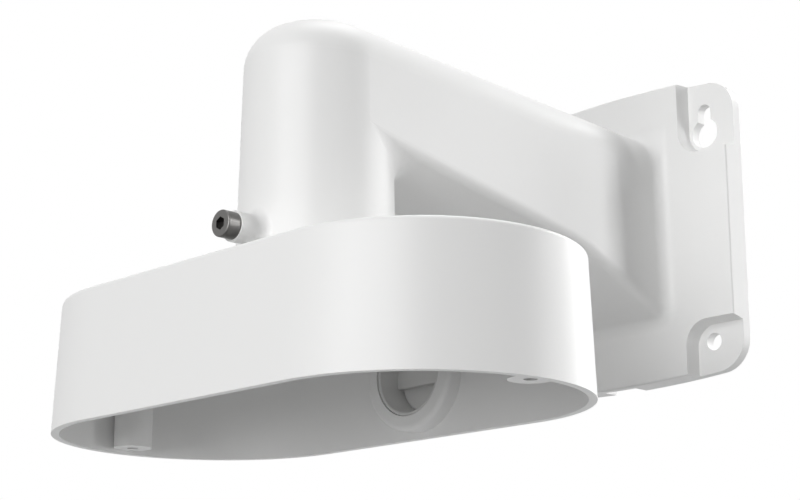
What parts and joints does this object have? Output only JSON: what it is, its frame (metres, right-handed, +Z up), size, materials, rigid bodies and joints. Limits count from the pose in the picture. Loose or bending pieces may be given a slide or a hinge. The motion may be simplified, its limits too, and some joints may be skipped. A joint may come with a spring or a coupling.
{
  "type": "camera wall bracket",
  "caption": "White cast wall bracket with a hollow arm and a round column that carries an open oval housing for a security camera.",
  "frame": {"origin": "on the wall, at the middle of the wall plate's back face", "axes": "+Y into the wall, +Z up, +X to the right when looking at the wall"},
  "size_m": [0.1626, 0.1746, 0.116],
  "materials": {
    "white_casting": "fine satin powder coat",
    "screw_steel": "plain stainless",
    "gasket_rubber": "matte",
    "plug_plastic": "matte"
  },
  "bodies": {
    "root": {"wall_arm": "white_casting", "camera_housing": "white_casting", "neck_gasket": "gasket_rubber", "lock_screw": "screw_steel", "entry_plug": "plug_plastic", "plug_seal": "gasket_rubber"}
  },
  "joints": []
}
